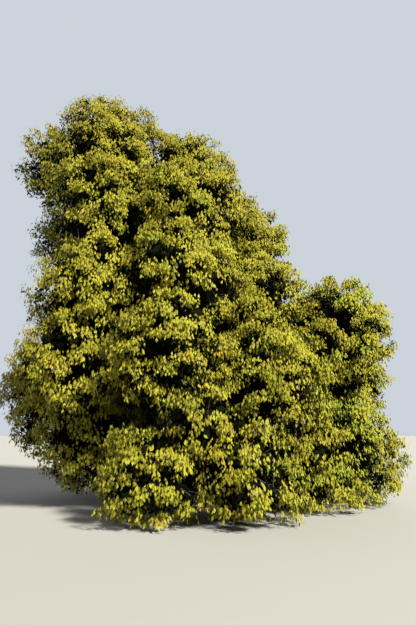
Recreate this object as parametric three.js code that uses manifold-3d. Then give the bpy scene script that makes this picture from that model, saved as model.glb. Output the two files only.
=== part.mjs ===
// Holm oak in flower: a broad evergreen tree, 11.1 m high, whose crown reaches the ground in front.
// A short flared trunk forks into three stems. Boughs leave the trunk and the stems, and each ends
// where it enters a mass of foliage. A mass is dense: twigs and sprays stand out of a smaller core.
// Millimetres, +Z up, +Y away from the viewer. The origin is the middle of the trunk's flat foot.

import * as THREE from "three";
import { mergeVertices } from "three/addons/utils/BufferGeometryUtils.js";
import Module from "manifold-3d";

const wasm = await Module();
wasm.setup();
const { Manifold } = wasm;

// The crown: rings of foliage masses, one above the other. Each ring has its height, its middle
// (x, y), its half-width and half-depth, how far a mass reaches from its own middle, and its
// masses: the direction of each in degrees from +X, how much higher it hangs than the ring, and
// its own share of the reach where that isn't 1.
// The crown leans to the left as it rises, and a low shoulder stands on its right.
const RINGS = {
  top: { height: 9450, middle: [-2050, -50], ring: [0, 0], reach: 2050, places: { dome: [0, 0] } },
  upper: {
    height: 8600,
    middle: [-1400, 50],
    ring: [1750, 1450],
    reach: 1600,
    places: { left: [184, 350, 0.95], front: [258, -250], right: [352, -50], back: [85, 200] },
  },
  high: {
    height: 6750,
    middle: [-350, 0],
    ring: [2000, 2050],
    reach: 1750,
    places: {
      left: [180, 60, 0.95],
      front_left: [236, 200],
      front_right: [298, -100],
      right: [0, -270],
      back_right: [60, 0],
      back_left: [120, 150],
    },
  },
  middle: {
    height: 4650,
    middle: [-150, 0],
    ring: [2250, 2550],
    reach: 1750,
    places: {
      left: [180, -300, 0.82],
      front_left: [232, -100],
      front_right: [284, 150],
      right: [338, -50],
      back_right: [58, 0],
      back_left: [122, -100],
    },
  },
  low: {
    height: 2650,
    middle: [100, 0],
    ring: [2900, 3000],
    reach: 1650,
    places: {
      left: [182, -300],
      front_left: [230, 450, 0.95],
      front: [272, 550, 0.9],
      front_right: [316, 100],
      back_right: [58, 0],
      back_left: [120, 50],
    },
  },
  skirt: {
    height: 780,
    middle: [750, 0],
    ring: [2650, 3550],
    reach: 1450,
    places: {
      left: [201, 650, 0.9],
      front_left: [255, -50, 0.88],
      front: [290, 0, 0.9],
      front_right: [327, 50],
      back_right: [56, 0],
      back_left: [110, 50],
      left_back: [158, 600],
    },
  },
  apron: { height: 1550, middle: [850, -3350], ring: [0, 0], reach: 1050, places: { front: [0, 0] } },
  shoulder: {
    height: 4080,
    middle: [4180, 50],
    ring: [300, 800],
    reach: 1600,
    places: { front: [262, -80], back: [60, -100], right: [0, -1150, 0.84] },
  },
  foot: {
    height: 1100,
    middle: [4080, 100],
    ring: [200, 1050],
    reach: 1650,
    places: { front: [250, 0], back: [70, 0] },
  },
};
const MASS_HEIGHT_SHARE = 0.95; // a mass is a little lower than it is wide
const CORE_SHARE = 0.72; // how much of its reach a mass's core fills
const CORE_UNEVENNESS = 0.1; // how far the core swells and sinks, as a share of its size
const CORE_DETAIL = 1;
const MASS_GAP = 60; // clear space between the masses of two boughs
const GROUND_GAP = 30; // sprays hang down to this height
const CORE_GROUND_GAP = 90;

// Twigs and sprays. One blade stands for a spray of leaves and catkins.
const TWIGS_IN_MASS = 9;
const BLADES_ON_TWIG = 2;
const TWIG_SIDES = 3;
const TWIG_RADIUS = 34;
const TWIG_SHARE = 0.88; // how far a twig runs towards the mass's limit
const BLADE_ROOT_SHARE = 0.82; // where on the core's depth a blade's root is sunk
const BLADE_WIDTH_SHARE = 0.6;
const BLADE_WIDEST = 0.48; // where along its length a blade is widest
const BLADE_THICKNESS_SHARE = 0.08;
const BLADE_SPREAD = 1.4; // how far the blades of a twig turn from each other, in radians
const SPREAD_CHANGE = 0.3; // how much that turn differs from blade to blade
const TURN_CHANGE = 0.4; // how much a twig turns aside from its place in the spiral
const DROOP = 0.6; // how far blades bend towards the ground
const LONGEST_BLADE_SHARE = 0.6; // of the mass's reach
const BLADE_SHORTENING = 0.93; // each shorter length tried until the blade fits its space
const SHORTEST_ROOM = 250; // a twig with less room beyond the core than this is left out
const SHORTEST_BLADE = 510;
const GOLDEN_ANGLE = Math.PI * (3 - Math.sqrt(5));

// The trunk: round at the fork, with buttresses at the foot.
const TRUNK_RADIUS = 300;
const TRUNK_TOP_RADIUS = 345;
const FORK_HEIGHT = 1250;
const FLARE_RADIUS = 250; // how much wider the foot is than the trunk
const FLARE_HEIGHT = 260;
const TRUNK_LEAN = -60; // how far the fork stands aside of the foot
const BUTTRESSES = 5;
const BUTTRESS_DEPTH = 0.28;
const TRUNK_SIDES = 20;
const TRUNK_RINGS = 8;
const RING_CROWDING = 1.5; // how much closer the trunk's rings stand at its foot

// The limbs. Stems run up the open middle of the crown by way of these places, each to the mass
// that it carries; boughs leave the stems for the other masses.
const STEMS = {
  left_stem: {
    radius: 200,
    to: "top_dome",
    by: [
      [-330, 30, 2600],
      [-420, 20, 4900],
      [-700, 0, 6900],
      [-1600, -50, 8900],
    ],
  },
  middle_stem: {
    radius: 165,
    to: "upper_right",
    by: [
      [240, 160, 2600],
      [200, 180, 4900],
      [60, 120, 6900],
    ],
  },
  right_stem: {
    radius: 170,
    to: "shoulder_front",
    by: [
      [800, -60, 1900],
      [1900, -80, 2350],
      [3000, -250, 2900],
    ],
  },
};
const STEM_FOOT_OFFSET = 140; // how far a stem starts from the trunk's axis
const STEM_FOOT_HEIGHT = 1000;
const STEM_SIDES = 8;
const STEM_RINGS = 10;
const STEM_TIP_RADIUS = 55;
const BOUGH_SIDES = 6;
const BOUGH_RINGS = 6;
const BOUGH_RADIUS_SHARE = 0.5; // a bough's foot, as a share of its stem's radius there
const BOUGH_LEAST_RADIUS = 48;
const BOUGH_TIP_RADIUS = 30;
const BOUGH_RISE = 0.42; // height a bough gains for each unit that it runs out
const BOUGH_ARCH = 0.16; // how high a bough bows up, as a share of its length
const BOUGH_BOW = 0.45; // where along its length it bows most
const BOUGH_RUN_WEIGHT = 0.6; // a short bough counts this much against one with the right rise
const BOUGH_FOOT_RANGE = [0.05, 0.9]; // the stretch of a stem that boughs leave from
const STEPS_ALONG_LIMB = 60;
const SHORTEST_BOUGH = 800; // a mass nearer to a stem than this grows from the stem itself
const TAPER = 0.85;
const JOINT_GAP = 0.3; // clear gap where two solids meet
const LIMB_CLEARANCE = 25; // foliage keeps this far from limbs that pass it

const BARK = new THREE.MeshStandardMaterial({ color: 0x4a4038, roughness: 0.95, metalness: 0 });
const FOLIAGE = new THREE.MeshStandardMaterial({ color: 0x8e8a2c, roughness: 0.75, metalness: 0 });

// A repeatable stream of numbers from 0 to 1.
function seeded(seed) {
  let state = seed >>> 0;
  return () => {
    state = (state + 0x6d2b79f5) >>> 0;
    let t = Math.imul(state ^ (state >>> 15), state | 1);
    t ^= t + Math.imul(t ^ (t >>> 7), t | 61);
    return ((t ^ (t >>> 14)) >>> 0) / 4294967296;
  };
}

// A closed three.js geometry as a solid.
function solidOf(geometry) {
  const bare = geometry.clone();
  bare.deleteAttribute("normal");
  bare.deleteAttribute("uv");
  const merged = mergeVertices(bare, 1e-3);
  return new Manifold(
    new wasm.Mesh({
      numProp: 3,
      vertProperties: merged.attributes.position.array,
      triVerts: new Uint32Array(merged.index.array),
    }),
  );
}

// A solid as a named mesh of the part.
function meshOf(name, solid, material) {
  const { numProp, numVert, vertProperties, triVerts } = solid.getMesh();
  const positions = new Float32Array(numVert * 3);
  for (let i = 0; i < numVert; i++) {
    const place = vertProperties.subarray(i * numProp, i * numProp + 3);
    positions.set(place, i * 3);
  }
  const geometry = new THREE.BufferGeometry();
  geometry.setAttribute("position", new THREE.BufferAttribute(positions, 3));
  geometry.setIndex(new THREE.BufferAttribute(new Uint32Array(triVerts), 1));
  geometry.computeVertexNormals();
  const mesh = new THREE.Mesh(geometry, material);
  mesh.name = name;
  return mesh;
}

// The largest of a solid's separate bodies.
function largestBody(solid) {
  return solid.decompose().reduce((a, b) => (a.volume() > b.volume() ? a : b));
}

// Moves each vertex of a geometry by a function of its place.
function reshape(geometry, place) {
  const at = geometry.attributes.position;
  const v = new THREE.Vector3();
  for (let i = 0; i < at.count; i++) {
    place(v.fromBufferAttribute(at, i));
    at.setXYZ(i, v.x, v.y, v.z);
  }
  return geometry;
}

// The plane that parts a mass from another: its direction and its distance from the mass's middle.
function wallTowards(other, mass) {
  const normal = other.middle.clone().sub(mass.middle);
  const share = mass.reach / (mass.reach + other.reach);
  const distance = normal.length() * share - MASS_GAP / 2;
  return { normal: normal.normalize(), distance };
}

// The masses, with the planes that part each one from its neighbours.
function crownMasses() {
  const masses = [];
  for (const [ring, { height, middle, ring: half, reach, places }] of Object.entries(RINGS))
    for (const [place, [degrees, lift, share = 1]] of Object.entries(places)) {
      const turn = THREE.MathUtils.degToRad(degrees);
      const x = middle[0] + half[0] * Math.cos(turn);
      const y = middle[1] + half[1] * Math.sin(turn);
      const centre = new THREE.Vector3(x, y, height + lift);
      masses.push({ name: `${ring}_${place}`, middle: centre, reach: reach * share });
    }
  const meet = (a, b) => a !== b && a.middle.distanceTo(b.middle) < a.reach + b.reach;
  for (const mass of masses)
    mass.walls = masses.filter((other) => meet(mass, other)).map((other) => wallTowards(other, mass));
  return masses;
}

// How far a mass's space runs from its middle in a direction, for a share of its reach.
function roomTowards(mass, direction, share, groundGap) {
  const { x, y, z } = direction;
  let room = (share * mass.reach) / Math.hypot(x, y, z / MASS_HEIGHT_SHARE);
  for (const { normal, distance } of mass.walls) {
    const facing = normal.dot(direction);
    if (facing > 0) room = Math.min(room, distance / facing);
  }
  if (z < 0) room = Math.min(room, (mass.middle.z - groundGap) / -z);
  return room;
}

function isInside(mass, point) {
  const offset = point.clone().sub(mass.middle);
  const length = offset.length();
  return length < 1 || length <= roomTowards(mass, offset.divideScalar(length), 1, GROUND_GAP);
}

// A limb's radius at a share of its length.
const radiusAt = (limb, t) => THREE.MathUtils.lerp(limb.radius, limb.tipRadius, t ** TAPER);

// A stretch of a limb as a solid: a cylinder bent along the limb's curve.
function limbSolid(limb, from, to, grown = 0) {
  const rings = Math.max(1, Math.round(limb.rings * (to - from)));
  const cylinder = new THREE.CylinderGeometry(1, 1, 1, limb.sides, rings);
  const across = new THREE.Vector3();
  const aside = new THREE.Vector3();
  return solidOf(
    reshape(cylinder, (v) => {
      const t = THREE.MathUtils.lerp(from, to + grown / limb.curve.getLength(), v.y + 0.5);
      const tangent = limb.curve.getTangent(t);
      across.crossVectors(tangent, limb.sideways).normalize();
      aside.crossVectors(across, tangent);
      const { x, z } = v;
      const radius = radiusAt(limb, t) + grown;
      v.copy(limb.curve.getPoint(t));
      v.addScaledVector(across, x * radius);
      v.addScaledVector(aside, z * radius);
    }),
  );
}

// The share of a limb's curve at which it enters its mass for good, with room round its tip.
function entryOf(limb) {
  const step = 0.005;
  let entry = 1;
  for (let t = 1; t > 0; t -= step) {
    const point = limb.curve.getPoint(t);
    const outwards = point.clone().sub(limb.mass.middle);
    const margin = outwards.setLength(radiusAt(limb, t) + MASS_GAP);
    if (!isInside(limb.mass, margin.add(point))) break;
    entry = t;
  }
  return entry;
}

// The same limb, ended where it enters its mass, with the points that foliage keeps clear of.
function endedInMass(limb) {
  limb.end = entryOf(limb);
  limb.samples = [];
  for (let i = 0; i <= STEPS_ALONG_LIMB; i++) {
    const t = (limb.end * i) / STEPS_ALONG_LIMB;
    limb.samples.push({ at: limb.curve.getPoint(t), radius: radiusAt(limb, t) + LIMB_CLEARANCE });
  }
  return limb;
}

function isClearOfLimbs(point, limbs) {
  const isClearOf = ({ at, radius }) => at.distanceToSquared(point) > radius ** 2;
  return limbs.every((limb) => limb.samples.every(isClearOf));
}

// The trunk: a cylinder widened at its foot into buttresses.
function trunkSolid(grown = 0) {
  const cylinder = new THREE.CylinderGeometry(1, 1, 1, TRUNK_SIDES, TRUNK_RINGS);
  return solidOf(
    reshape(cylinder, (v) => {
      const t = v.y + 0.5;
      const height = (FORK_HEIGHT + grown) * t ** RING_CROWDING;
      const flare = Math.exp(-height / FLARE_HEIGHT);
      const ridge = 1 + BUTTRESS_DEPTH * flare * Math.cos(BUTTRESSES * Math.atan2(v.z, v.x));
      const straight = THREE.MathUtils.lerp(TRUNK_RADIUS, TRUNK_TOP_RADIUS, t);
      const radius = (straight + FLARE_RADIUS * flare) * ridge + grown;
      v.set(v.x * radius + TRUNK_LEAN * t, -v.z * radius, height);
    }),
  );
}

function stemLimbs(masses) {
  return Object.entries(STEMS).map(([name, { radius, to, by }]) => {
    const mass = masses.find((one) => one.name === to);
    const towards = Math.atan2(by[0][1], by[0][0]);
    const footX = STEM_FOOT_OFFSET * Math.cos(towards);
    const footY = STEM_FOOT_OFFSET * Math.sin(towards);
    const points = [[footX, footY, STEM_FOOT_HEIGHT], ...by].map((place) => new THREE.Vector3(...place));
    return endedInMass({
      name,
      mass,
      curve: new THREE.CatmullRomCurve3([...points, mass.middle], false, "centripetal"),
      radius,
      tipRadius: STEM_TIP_RADIUS,
      sides: STEM_SIDES,
      rings: STEM_RINGS,
      sideways: new THREE.Vector3(0.1, 1, 0.05).normalize(),
    });
  });
}

// Where a bough leaves for a mass: the nearest stem, lower than the mass by the bough's rise.
function boughFoot(mass, stems) {
  const [first, last] = BOUGH_FOOT_RANGE;
  let best = { cost: Infinity };
  for (const stem of stems)
    for (let t = first; t < last * stem.end; t += 1 / STEPS_ALONG_LIMB) {
      const at = stem.curve.getPoint(t);
      const run = Math.hypot(mass.middle.x - at.x, mass.middle.y - at.y);
      const wrongRise = Math.abs(at.z + run * BOUGH_RISE - mass.middle.z);
      const cost = run * BOUGH_RUN_WEIGHT + wrongRise;
      if (cost < best.cost) best = { cost, stem, t, at };
    }
  return best;
}

// A bough: one tapering limb that bows up on its way from a stem to its mass.
function boughLimb(mass, stems) {
  const { stem, t, at } = boughFoot(mass, stems);
  const bow = at.clone().lerp(mass.middle, BOUGH_BOW);
  bow.z += at.distanceTo(mass.middle) * BOUGH_ARCH;
  return endedInMass({
    name: `bough_${mass.name}`,
    mass,
    stem,
    curve: new THREE.QuadraticBezierCurve3(at, bow, mass.middle),
    radius: Math.max(BOUGH_LEAST_RADIUS, radiusAt(stem, t) * BOUGH_RADIUS_SHARE),
    tipRadius: BOUGH_TIP_RADIUS,
    sides: BOUGH_SIDES,
    rings: BOUGH_RINGS,
    sideways: new THREE.Vector3(at.y - mass.middle.y, mass.middle.x - at.x, 0).normalize(),
  });
}

// The three stems, and a bough for each mass that is too far out to grow from a stem itself.
function crownLimbs(masses) {
  const stems = stemLimbs(masses);
  for (const stem of stems) stem.mass.limb = stem;
  for (const mass of masses) mass.limb ??= boughLimb(mass, stems);
  const boughs = masses.map(({ limb }) => limb).filter((limb) => limb.stem);
  for (const bough of boughs) {
    const bare = bough.curve.getLength() * bough.end - radiusAt(bough.stem, 0.5);
    if (bare < SHORTEST_BOUGH) bough.end = 0;
  }
  return [...stems, ...boughs.filter((bough) => bough.end > 0)];
}

// A blade of eight faces, widest below its middle.
function bladeGeometry(root, direction, sideways, length) {
  const across = sideways.clone().addScaledVector(direction, -sideways.dot(direction)).normalize();
  const normal = new THREE.Vector3().crossVectors(direction, across);
  const turned = new THREE.Matrix4().makeBasis(across, normal, direction);
  return reshape(new THREE.OctahedronGeometry(0.5), (v) => {
    const along = Math.abs(v.z) < 0.25 ? BLADE_WIDEST : v.z + 0.5;
    v.set(v.x * length * BLADE_WIDTH_SHARE, v.y * length * BLADE_THICKNESS_SHARE, along * length);
    v.applyMatrix4(turned).add(root);
  });
}

// Whether a blade keeps to its mass's space and clear of the limbs.
function isFree(geometry, mass, limbs) {
  const at = geometry.attributes.position;
  for (let i = 0; i < at.count; i++) {
    const point = new THREE.Vector3().fromBufferAttribute(at, i);
    if (!isInside(mass, point) || !isClearOfLimbs(point, limbs)) return false;
  }
  return true;
}

// The core: a ball shaped to the mass's space, with swells and hollows.
function coreSolid(mass, random) {
  const phase = random() * Math.PI * 2;
  return solidOf(
    reshape(new THREE.IcosahedronGeometry(1, CORE_DETAIL), (v) => {
      const swell = Math.sin(5 * v.x + phase) + Math.sin(5 * v.y + 2 * phase) + Math.sin(6 * v.z);
      const share = CORE_SHARE * (1 + CORE_UNEVENNESS * swell);
      v.multiplyScalar(roomTowards(mass, v, share, CORE_GROUND_GAP)).add(mass.middle);
    }),
  );
}

// A twig from the mass's middle towards its limit.
function twigSolid(mass, direction, length) {
  const tip = mass.middle.clone().addScaledVector(direction, length);
  const twig = {
    curve: new THREE.LineCurve3(mass.middle, tip),
    radius: TWIG_RADIUS,
    tipRadius: TWIG_RADIUS / 2,
    sides: TWIG_SIDES,
    rings: 1,
    sideways: new THREE.Vector3(0.3, 0.5, 0.8).normalize(),
  };
  return limbSolid(twig, 0, 1);
}

// The longest blade from a root that keeps to its mass's space, or none.
function bladeSolid(mass, limbs, root, way, across) {
  const longest = mass.reach * LONGEST_BLADE_SHARE;
  for (let length = longest; length > SHORTEST_BLADE; length *= BLADE_SHORTENING) {
    const blade = bladeGeometry(root, way, across, length);
    if (isFree(blade, mass, limbs)) return solidOf(blade);
  }
  return null;
}

// The blades of one twig, fanned from a root sunk in the core and bent down.
function bladesOfTwig(mass, limbs, direction, core, random) {
  const blades = [];
  const flat = Math.hypot(direction.x, direction.y);
  const sideways = new THREE.Vector3(-direction.y / flat, direction.x / flat, 0);
  const root = mass.middle.clone().addScaledVector(direction, core * BLADE_ROOT_SHARE);
  for (let i = 0; i < BLADES_ON_TWIG; i++) {
    const place = i - (BLADES_ON_TWIG - 1) / 2;
    const spread = place * BLADE_SPREAD + (random() - 0.5) * SPREAD_CHANGE;
    const way = direction.clone().addScaledVector(sideways, Math.tan(spread));
    way.z -= DROOP * flat * (0.5 + random());
    way.normalize();
    const across = direction.clone().cross(way);
    const blade = bladeSolid(mass, limbs, root, way, across);
    if (blade) blades.push(blade);
  }
  return blades;
}

// The twigs of a mass and their blades, spread round its middle by the golden angle.
function spraySolids(mass, limbs, random) {
  const found = [];
  const phase = random() * Math.PI * 2;
  for (let i = 0; i < TWIGS_IN_MASS; i++) {
    const up = 1 - (2 * (i + 0.5)) / TWIGS_IN_MASS;
    const turn = i * GOLDEN_ANGLE + phase + (random() - 0.5) * TURN_CHANGE;
    const flat = Math.sqrt(1 - up * up);
    const direction = new THREE.Vector3(flat * Math.cos(turn), flat * Math.sin(turn), up);
    const room = roomTowards(mass, direction, 1, GROUND_GAP);
    const core = roomTowards(mass, direction, CORE_SHARE, CORE_GROUND_GAP);
    if (room - core < SHORTEST_ROOM) continue;
    const blades = bladesOfTwig(mass, limbs, direction, core, random);
    if (blades.length) found.push(twigSolid(mass, direction, room * TWIG_SHARE), ...blades);
  }
  return found;
}

// Cuts a solid by those of the cutters whose boxes it meets.
function cutBy(solid, cutters) {
  const { min, max } = solid.boundingBox();
  const near = cutters.filter((cutter) => {
    const box = cutter.boundingBox();
    return [0, 1, 2].every((axis) => box.min[axis] < max[axis] && box.max[axis] > min[axis]);
  });
  return near.reduce((rest, cutter) => rest.subtract(cutter), solid);
}

// A mass: its stem, which goes on from the bough's tip, its core, its twigs and their blades.
function massSolid(mass, limbs, random) {
  const { limb } = mass;
  const from = limb.end + JOINT_GAP / limb.curve.getLength();
  const core = coreSolid(mass, random);
  const whole = Manifold.union([core, limbSolid(limb, from, 1), ...spraySolids(mass, limbs, random)]);
  const carriers = [limb, limb.stem];
  const cutters = limbs.map((one) => {
    const clearance = carriers.includes(one) ? JOINT_GAP : LIMB_CLEARANCE;
    return limbSolid(one, 0, one.end, clearance);
  });
  return largestBody(cutBy(whole, cutters));
}

function build() {
  const masses = crownMasses();
  const limbs = crownLimbs(masses);
  const tree = new THREE.Group();
  tree.add(meshOf("trunk", trunkSolid(), BARK));

  const standing = [trunkSolid(JOINT_GAP)];
  for (const limb of limbs) {
    const whole = limbSolid(limb, 0, limb.end);
    tree.add(meshOf(limb.name, largestBody(cutBy(whole, standing)), BARK));
    standing.push(limbSolid(limb, 0, limb.end, JOINT_GAP));
  }

  masses.forEach((mass, i) => {
    const solid = massSolid(mass, limbs, seeded(i + 1));
    tree.add(meshOf(`foliage_${mass.name}`, solid, FOLIAGE));
  });
  return tree;
}

export default build();
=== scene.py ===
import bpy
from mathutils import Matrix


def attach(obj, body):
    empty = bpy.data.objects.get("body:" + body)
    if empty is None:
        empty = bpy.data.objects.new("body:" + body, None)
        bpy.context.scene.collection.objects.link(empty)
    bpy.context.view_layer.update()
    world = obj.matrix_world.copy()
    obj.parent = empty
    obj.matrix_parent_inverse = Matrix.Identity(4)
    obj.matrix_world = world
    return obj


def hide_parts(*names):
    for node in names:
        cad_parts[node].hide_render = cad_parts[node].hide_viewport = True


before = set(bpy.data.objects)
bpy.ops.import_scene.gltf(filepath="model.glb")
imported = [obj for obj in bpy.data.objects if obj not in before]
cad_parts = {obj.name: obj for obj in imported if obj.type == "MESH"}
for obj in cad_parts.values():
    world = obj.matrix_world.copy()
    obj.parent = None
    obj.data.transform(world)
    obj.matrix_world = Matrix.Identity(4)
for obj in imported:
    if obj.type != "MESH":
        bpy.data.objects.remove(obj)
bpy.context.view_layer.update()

import math

import bmesh
import bpy
import numpy as np
from mathutils import Vector, noise

# Camera
# The tree is seen from in front, from 12.5 m off and at eye height. The view is tilted up to take in
# the crown. In the scene x runs to the right, y away from the camera and z up.
EYE = (1.0, -12.5, 1.6)
TILT = math.radians(104.1)

camera_data = bpy.data.cameras.new("camera")
camera_data.sensor_width = 36
camera_data.lens = 27.07
camera_data.clip_end = 400
camera = bpy.data.objects.new("camera", camera_data)
camera.location = EYE
camera.rotation_euler = (TILT, 0, 0)
bpy.context.scene.collection.objects.link(camera)
bpy.context.scene.camera = camera

# Studio
# A plain pale round floor under a pale surround. The key light stands high on the right and a soft
# fill in front. Weak wide lights behind and on the left let the shaded sides be seen.
FLOOR_RADIUS = 150
FLOOR_DROP = 0.004
FLOOR_COLOUR = (0.29, 0.29, 0.28, 1)
SURROUND_GLOW = (0.09, 0.09, 0.085, 1)
SURROUND_SEEN = (0.6, 0.65, 0.71, 1)
CROWN_MIDDLE = Vector((0.5, 0, 4.5))

floor_mesh = bpy.data.meshes.new("floor")
shape = bmesh.new()
bmesh.ops.create_circle(shape, cap_ends=True, segments=180, radius=FLOOR_RADIUS)
bmesh.ops.translate(shape, verts=shape.verts, vec=(0, 0, -FLOOR_DROP))
shape.to_mesh(floor_mesh)
shape.free()
floor = bpy.data.objects.new("floor", floor_mesh)
bpy.context.scene.collection.objects.link(floor)
floor_paint = bpy.data.materials.new("floor_paint")
floor_paint.use_nodes = True
floor_coat = floor_paint.node_tree.nodes["Principled BSDF"]
floor_coat.inputs["Base Color"].default_value = FLOOR_COLOUR
floor_coat.inputs["Roughness"].default_value = 0.9
floor_mesh.materials.append(floor_paint)

surround = bpy.data.worlds.new("surround")
surround.use_nodes = True
paint = surround.node_tree
seen = paint.nodes.new("ShaderNodeLightPath")
glow = paint.nodes.new("ShaderNodeMix")
glow.data_type = "RGBA"
glow.inputs["A"].default_value = SURROUND_GLOW
glow.inputs["B"].default_value = SURROUND_SEEN
paint.links.new(seen.outputs["Is Camera Ray"], glow.inputs["Factor"])
paint.links.new(glow.outputs["Result"], paint.nodes["Background"].inputs["Color"])
bpy.context.scene.world = surround


def hang_light(name, kind, place, colour, strength, spread):
    """A lamp that shines from its place at the middle of the crown."""
    lamp = bpy.data.lights.new(name, kind)
    lamp.energy = strength
    lamp.color = colour
    if kind == "SUN":
        lamp.angle = spread
    else:
        lamp.size = spread
    light = bpy.data.objects.new(name, lamp)
    light.location = place
    light.rotation_euler = (CROWN_MIDDLE - Vector(place)).to_track_quat("-Z", "Y").to_euler()
    bpy.context.scene.collection.objects.link(light)


hang_light("key_light", "SUN", (20, -21, 28), (1.0, 0.95, 0.84), 10.6, math.radians(7))
hang_light("fill_light", "AREA", (-5, -23, 8), (0.85, 0.9, 1.0), 200, 12)
hang_light("back_light", "SUN", (8, 24, 14), (0.95, 0.97, 1.0), 1.6, math.radians(60))
hang_light("side_light", "SUN", (-25, 7, 10), (0.95, 0.97, 1.0), 1.5, math.radians(60))
bpy.context.scene.view_settings.view_transform = "Standard"

# Trunk
# The short trunk of the oak: wood under dark grey bark, cracked all over into small plates. It widens
# into five low buttresses at the ground, where it is cut flat.
TRUNK_RADIUS = 0.3
TRUNK_TOP_RADIUS = 0.345
FORK_HEIGHT = 1.25
FLARE_RADIUS = 0.25
FLARE_HEIGHT = 0.26
TRUNK_LEAN = -0.06
BUTTRESSES = 5
BUTTRESS_DEPTH = 0.28
TRUNK_BARK_DEPTH = 0.006
TRUNK_BARK_INSET = 0.004
TRUNK_SIDES = 150
TRUNK_RINGS = 90
TRUNK_RINGS_CROWD_DOWN = 1.5
SEAM_WIDTH = 1e-5
PLATE_WIDTH = 0.045
PLATE_HEIGHT = 0.08
CRACK_WIDTH = 0.16
GRAIN_RATE = 31
GRAIN_DEPTH_SHARE = 0.5
SWELL_RATE = 2.3
SWELL_DEPTH_SHARE = 2.5
CRACK_COLOUR = (0.012, 0.01, 0.008, 1)
PLATE_COLOUR = (0.075, 0.062, 0.05, 1)
LICHEN_COLOUR = (0.16, 0.16, 0.12, 1)


def bark_relief(place, depth):
    """How far the bark stands out at a place: plates with cracks between them, over soft swells."""
    cell = Vector((place.x / PLATE_WIDTH, place.y / PLATE_WIDTH, place.z / PLATE_HEIGHT))
    near, following = noise.voronoi(cell)[0][:2]
    crack = math.exp(-(((following - near) / CRACK_WIDTH) ** 2))
    swell = noise.noise(place * SWELL_RATE)
    grain = noise.noise(place * GRAIN_RATE)
    return depth * (GRAIN_DEPTH_SHARE * grain - crack) + SWELL_DEPTH_SHARE * depth * swell


def bark_material():
    """Dark grey bark: lighter and browner on its plates, nearly black in the cracks, some lichen."""
    material = bpy.data.materials.new("bark")
    material.use_nodes = True
    tree = material.node_tree
    skin = tree.nodes["Principled BSDF"]
    place = tree.nodes.new("ShaderNodeTexCoord")
    stretch = tree.nodes.new("ShaderNodeMapping")
    stretch.inputs["Scale"].default_value = (22, 22, 12)
    tree.links.new(place.outputs["Object"], stretch.inputs["Vector"])
    plates = tree.nodes.new("ShaderNodeTexVoronoi")
    plates.feature = "DISTANCE_TO_EDGE"
    plates.inputs["Scale"].default_value = 1
    tree.links.new(stretch.outputs["Vector"], plates.inputs["Vector"])
    tones = tree.nodes.new("ShaderNodeValToRGB")
    tones.color_ramp.elements[0].position = 0.02
    tones.color_ramp.elements[0].color = CRACK_COLOUR
    tones.color_ramp.elements[1].position = 0.28
    tones.color_ramp.elements[1].color = PLATE_COLOUR
    tree.links.new(plates.outputs["Distance"], tones.inputs["Fac"])
    patches = tree.nodes.new("ShaderNodeTexNoise")
    patches.inputs["Scale"].default_value = 5
    patches.inputs["Detail"].default_value = 6
    tree.links.new(place.outputs["Object"], patches.inputs["Vector"])
    lichen = tree.nodes.new("ShaderNodeMapRange")
    lichen.inputs["From Min"].default_value = 0.55
    lichen.inputs["From Max"].default_value = 0.7
    lichen.inputs["To Max"].default_value = 0.55
    tree.links.new(patches.outputs["Fac"], lichen.inputs["Value"])
    mixed = tree.nodes.new("ShaderNodeMix")
    mixed.data_type = "RGBA"
    mixed.inputs["B"].default_value = LICHEN_COLOUR
    tree.links.new(lichen.outputs["Result"], mixed.inputs["Factor"])
    tree.links.new(tones.outputs["Color"], mixed.inputs["A"])
    tree.links.new(mixed.outputs["Result"], skin.inputs["Base Color"])
    bump = tree.nodes.new("ShaderNodeBump")
    bump.inputs["Strength"].default_value = 0.6
    bump.inputs["Distance"].default_value = 0.01
    tree.links.new(plates.outputs["Distance"], bump.inputs["Height"])
    tree.links.new(bump.outputs["Normal"], skin.inputs["Normal"])
    skin.inputs["Roughness"].default_value = 0.92
    skin.inputs["Specular IOR Level"].default_value = 0.2
    return material


bark = bark_material()


def bark_tube(name, ring_at, sides, rings, node):
    """A closed tube with bark: a grid wrapped round by ring_at, its ends filled and left flat."""
    shape = bmesh.new()
    bmesh.ops.create_grid(shape, x_segments=sides, y_segments=rings, size=0.5)
    for vert in shape.verts:
        vert.co = ring_at(round((vert.co.y + 0.5) * rings) / rings, (vert.co.x + 0.5) * 2 * math.pi)
    bmesh.ops.remove_doubles(shape, verts=shape.verts, dist=SEAM_WIDTH)
    bmesh.ops.holes_fill(shape, edges=shape.edges, sides=0)
    bmesh.ops.recalc_face_normals(shape, faces=shape.faces)
    mesh = bpy.data.meshes.new(name)
    shape.to_mesh(mesh)
    shape.free()
    mesh.polygons.foreach_set("use_smooth", [len(face.vertices) < 5 for face in mesh.polygons])
    mesh.materials.append(bark)
    piece = bpy.data.objects.new(name, mesh)
    bpy.context.scene.collection.objects.link(piece)
    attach(piece, "root")
    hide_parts(node)


def trunk_ring(share, turn):
    """A point of the trunk's bark: a share of the way up to the fork, at a turn round the trunk."""
    height = FORK_HEIGHT * share**TRUNK_RINGS_CROWD_DOWN
    flare = math.exp(-height / FLARE_HEIGHT)
    ridge = 1 + BUTTRESS_DEPTH * flare * math.cos(BUTTRESSES * turn)
    straight = TRUNK_RADIUS + (TRUNK_TOP_RADIUS - TRUNK_RADIUS) * share
    radius = (straight + FLARE_RADIUS * flare) * ridge
    place = Vector((radius * math.cos(turn) + TRUNK_LEAN * share, radius * math.sin(turn), height))
    out = Vector((math.cos(turn), math.sin(turn), 0))
    return place + out * (bark_relief(place, TRUNK_BARK_DEPTH) - TRUNK_BARK_INSET)


bark_tube("trunk_bark", trunk_ring, TRUNK_SIDES, TRUNK_RINGS, "trunk")

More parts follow.
